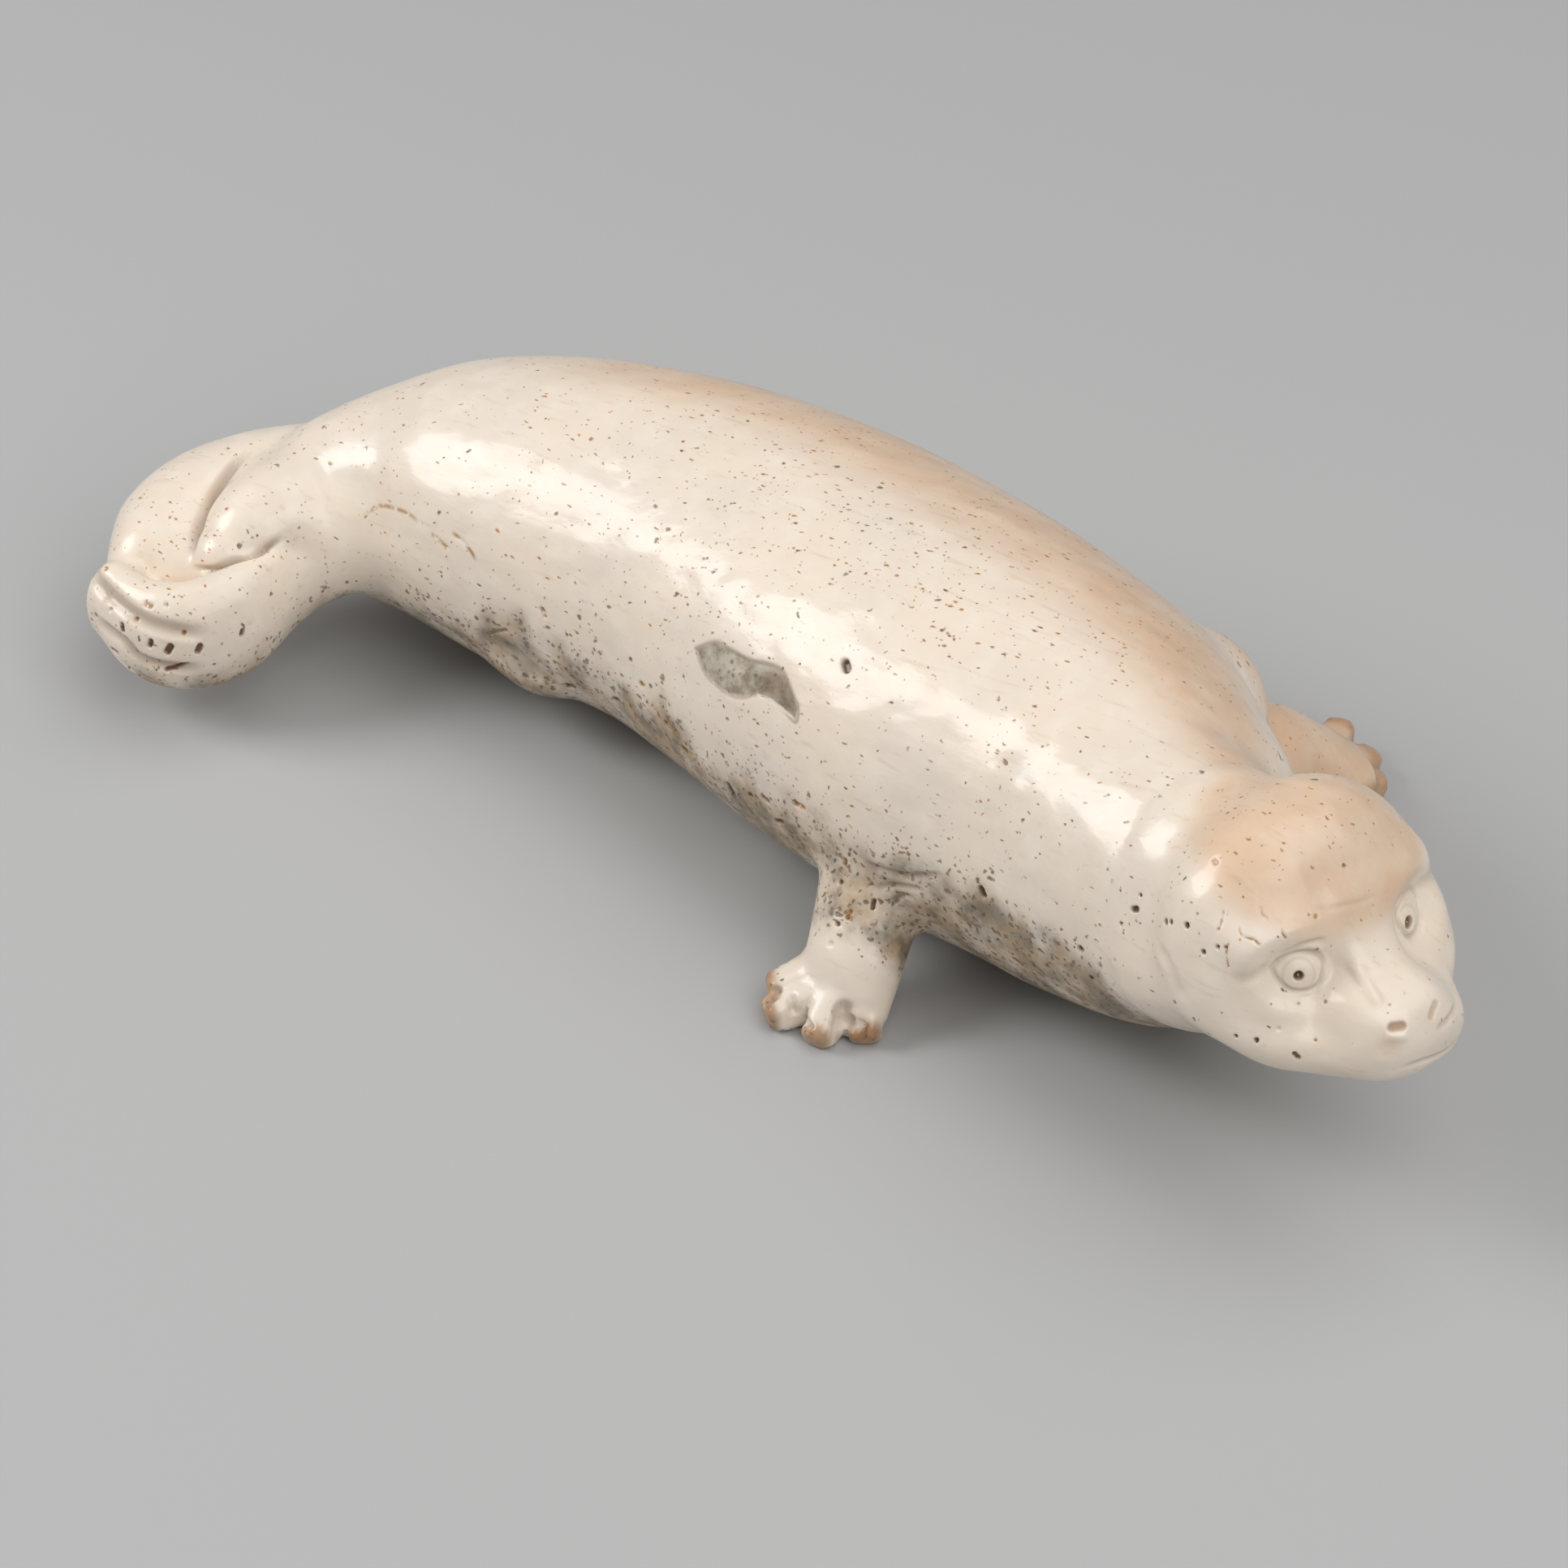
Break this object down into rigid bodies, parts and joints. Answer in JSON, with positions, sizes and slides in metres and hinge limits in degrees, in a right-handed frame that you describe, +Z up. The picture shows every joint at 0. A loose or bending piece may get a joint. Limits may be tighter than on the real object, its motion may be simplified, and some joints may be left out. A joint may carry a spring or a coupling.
{
  "type": "seal carving",
  "caption": "Carved whalebone seal lying on its belly, fore flippers spread, head turned to its right, hind flippers curled round the tail.",
  "frame": {"origin": "middle of the carving's footprint, on the surface it lies on", "axes": "+X from the hind flippers to the head, +Y to the seal's left, +Z up"},
  "size_m": [0.222, 0.0982, 0.0556],
  "materials": {
    "whalebone": "cream whalebone, polished and varnished to a gloss, with brown pores"
  },
  "bodies": {
    "root": {"seal": "whalebone"}
  },
  "joints": []
}
